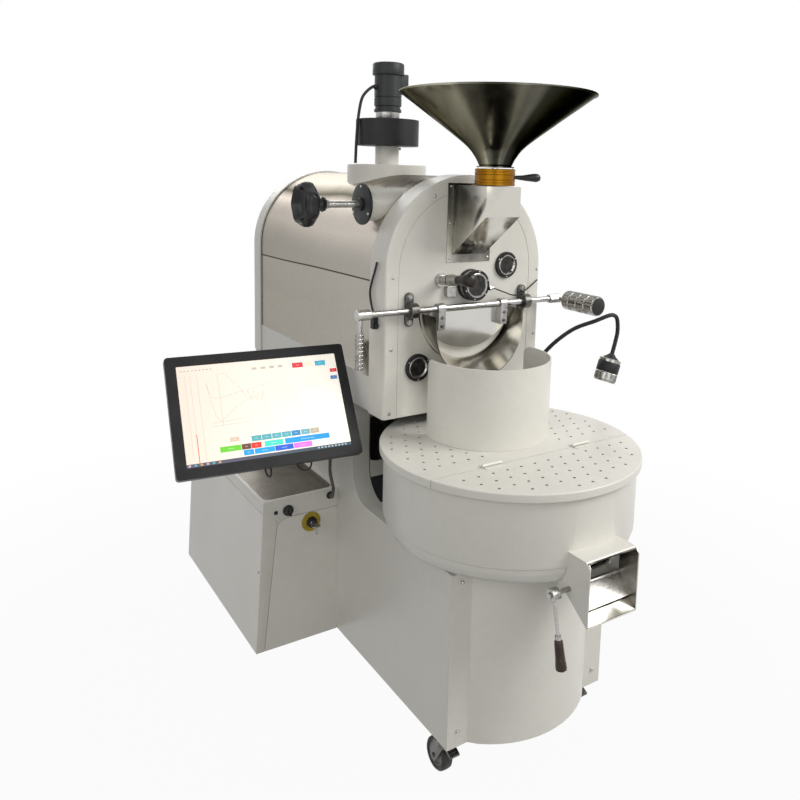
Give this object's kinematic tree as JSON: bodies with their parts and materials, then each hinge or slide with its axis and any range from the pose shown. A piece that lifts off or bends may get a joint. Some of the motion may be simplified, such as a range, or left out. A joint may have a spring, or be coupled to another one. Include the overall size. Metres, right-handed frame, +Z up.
{
  "type": "electric coffee roaster",
  "caption": "White free-standing drum coffee roaster with a steel hopper, counterweighted discharge door, round cooling bin, side cabinet, tilting touch screen, lamp and casters.",
  "frame": {"origin": "on the floor under the centre of the whole machine's box", "axes": "+Z up, -Y towards the front where the cooling bin stands, +X to the right of a person facing the front"},
  "size_m": [1.1454, 1.397, 1.66],
  "materials": {
    "white_paint": "satin powder coat",
    "black_paint": "satin",
    "grey_paint": "semi-gloss",
    "polished_steel": "mirror polished stainless",
    "brushed_steel": "brushed",
    "gold_anodised": "gold anodised",
    "black_plastic": "satin",
    "brown_grip": "lacquered",
    "grey_rubber": "matte",
    "black_rubber": "matte",
    "glass": "clear"
  },
  "bodies": {
    "frame": {"base_floor_pan": "black_paint", "bean_spout": "polished_steel", "bin_screen_floor": "brushed_steel", "bin_tub": "white_paint", "blower_gearmotor": "grey_paint", "blower_housing": "black_paint", "cabinet_front_cover": "white_paint", "cabinet_shell": "white_paint", "cabinet_tray": "brushed_steel", "casing_skirt": "white_paint", "damper_pipe": "white_paint", "discharge_chute": "white_paint", "drum_casing": "polished_steel", "drum_gearmotor": "grey_paint", "exhaust_stack": "white_paint", "front_arch_frame": "white_paint", "front_face_plate": "white_paint", "guard_collar": "white_paint", "heating_element": "brushed_steel", "hopper": "polished_steel", "inlet_chute": "polished_steel", "left_pillow_block": "black_paint", "lower_sight_glass": "black_plastic", "monitor_arm": "black_paint", "motor_cable": "black_rubber", "pedestal_front_panel": "white_paint", "pedestal_shell": "white_paint", "probe_port": "black_paint", "probe_wire": "grey_rubber", "rear_arch_cover": "white_paint", "rear_lid": "white_paint", "right_pillow_block": "black_paint", "screen_cable": "grey_rubber", "trier_socket": "polished_steel", "upper_sight_glass": "black_plastic", "valve_body": "gold_anodised", "work_lamp": "black_paint"},
    "drum": {"drum": "black_paint"},
    "door": {"door_shaft": "brushed_steel", "door_plate": "polished_steel", "door_counterweight": "brushed_steel"},
    "trier": {"trier": "brown_grip"},
    "valve_lever": {"valve_lever": "black_plastic"},
    "damper": {"damper_handwheel": "black_plastic"},
    "exhaust_impeller": {"exhaust_impeller": "grey_paint"},
    "front_lid": {"front_lid_flap": "white_paint"},
    "outlet_gate": {"outlet_gate": "brushed_steel"},
    "stirrer": {"bin_stirrer": "brushed_steel"},
    "fan": {"cooling_fan": "black_plastic"},
    "selector": {"selector_knob": "black_plastic"},
    "key": {"mode_key": "brushed_steel"},
    "monitor": {"monitor_case": "black_plastic"},
    "fork_front_left": {"caster_fork_front_left": "black_paint"},
    "wheel_front_left": {"caster_wheel_front_left": "grey_rubber"},
    "fork_front_right": {"caster_fork_front_right": "black_paint"},
    "wheel_front_right": {"caster_wheel_front_right": "grey_rubber"},
    "fork_rear_left": {"caster_fork_rear_left": "black_paint"},
    "wheel_rear_left": {"caster_wheel_rear_left": "grey_rubber"},
    "fork_rear_right": {"caster_fork_rear_right": "black_paint"},
    "wheel_rear_right": {"caster_wheel_rear_right": "grey_rubber"}
  },
  "joints": [
    {"name": "drum_spin", "type": "hinge", "parent": "frame", "child": "drum", "pos_m": [0.12678, 0.1495, 1.1], "axis": [0, 1, 0], "continuous": true},
    {"name": "door_swing", "type": "hinge", "parent": "frame", "child": "door", "pos_m": [0.12678, -0.1835, 1.0325], "axis": [-1, 0, 0], "range_deg": [0, 80]},
    {"name": "trier_pull", "type": "slide", "parent": "frame", "child": "trier", "axis": [0, -0.9934, 0.1149], "range_m": [0, 0.12]},
    {"name": "valve_turn", "type": "hinge", "parent": "frame", "child": "valve_lever", "pos_m": [0.12678, -0.2585, 1.3496], "axis": [0, 0, 1], "range_deg": [0, 66]},
    {"name": "damper_turn", "type": "hinge", "parent": "frame", "child": "damper", "pos_m": [-0.20622, -0.0385, 1.276], "axis": [-1, 0, 0], "range_deg": [0, 180]},
    {"name": "impeller_spin", "type": "hinge", "parent": "frame", "child": "exhaust_impeller", "pos_m": [0.12678, 0.2515, 1.465], "axis": [0, 0, 1], "continuous": true},
    {"name": "front_lid_lift", "type": "hinge", "parent": "frame", "child": "front_lid", "pos_m": [0.12678, -0.4525, 0.74125], "axis": [-1, 0, 0], "range_deg": [0, 95]},
    {"name": "gate_turn", "type": "hinge", "parent": "frame", "child": "outlet_gate", "pos_m": [0.12678, -0.644, 0.53], "axis": [-1, 0, 0], "range_deg": [0, 120]},
    {"name": "stirrer_spin", "type": "hinge", "parent": "frame", "child": "stirrer", "pos_m": [0.12678, -0.3495, 0.566], "axis": [0, 0, 1], "continuous": true},
    {"name": "fan_spin", "type": "hinge", "parent": "frame", "child": "fan", "pos_m": [0.12678, -0.3495, 0.235], "axis": [0, 0, 1], "continuous": true},
    {"name": "selector_turn", "type": "hinge", "parent": "frame", "child": "selector", "pos_m": [-0.24722, 0.0812, 0.48], "axis": [0, -1, 0], "range_deg": [0, 90]},
    {"name": "key_turn", "type": "hinge", "parent": "frame", "child": "key", "pos_m": [-0.18222, 0.0705, 0.434], "axis": [0, -1, 0], "range_deg": [0, 90]},
    {"name": "monitor_tilt", "type": "hinge", "parent": "frame", "child": "monitor", "pos_m": [-0.34791, 0.00055, 0.77868], "axis": [0.9945, -0.1045, 0], "range_deg": [-12, 20]},
    {"name": "swivel_front_left", "type": "hinge", "parent": "frame", "child": "fork_front_left", "pos_m": [-0.06922, -0.4085, 0.0925], "axis": [0, 0, 1], "continuous": true},
    {"name": "roll_front_left", "type": "hinge", "parent": "fork_front_left", "child": "wheel_front_left", "pos_m": [-0.06922, -0.3829, 0.0375], "axis": [1, 0, 0], "continuous": true},
    {"name": "swivel_front_right", "type": "hinge", "parent": "frame", "child": "fork_front_right", "pos_m": [0.32278, -0.4085, 0.0925], "axis": [0, 0, 1], "continuous": true},
    {"name": "roll_front_right", "type": "hinge", "parent": "fork_front_right", "child": "wheel_front_right", "pos_m": [0.32278, -0.3829, 0.0375], "axis": [1, 0, 0], "continuous": true},
    {"name": "swivel_rear_left", "type": "hinge", "parent": "frame", "child": "fork_rear_left", "pos_m": [-0.06922, 0.6215, 0.0925], "axis": [0, 0, 1], "continuous": true},
    {"name": "roll_rear_left", "type": "hinge", "parent": "fork_rear_left", "child": "wheel_rear_left", "pos_m": [-0.06922, 0.6471, 0.0375], "axis": [1, 0, 0], "continuous": true},
    {"name": "swivel_rear_right", "type": "hinge", "parent": "frame", "child": "fork_rear_right", "pos_m": [0.32278, 0.6215, 0.0925], "axis": [0, 0, 1], "continuous": true},
    {"name": "roll_rear_right", "type": "hinge", "parent": "fork_rear_right", "child": "wheel_rear_right", "pos_m": [0.32278, 0.6471, 0.0375], "axis": [1, 0, 0], "continuous": true}
  ]
}
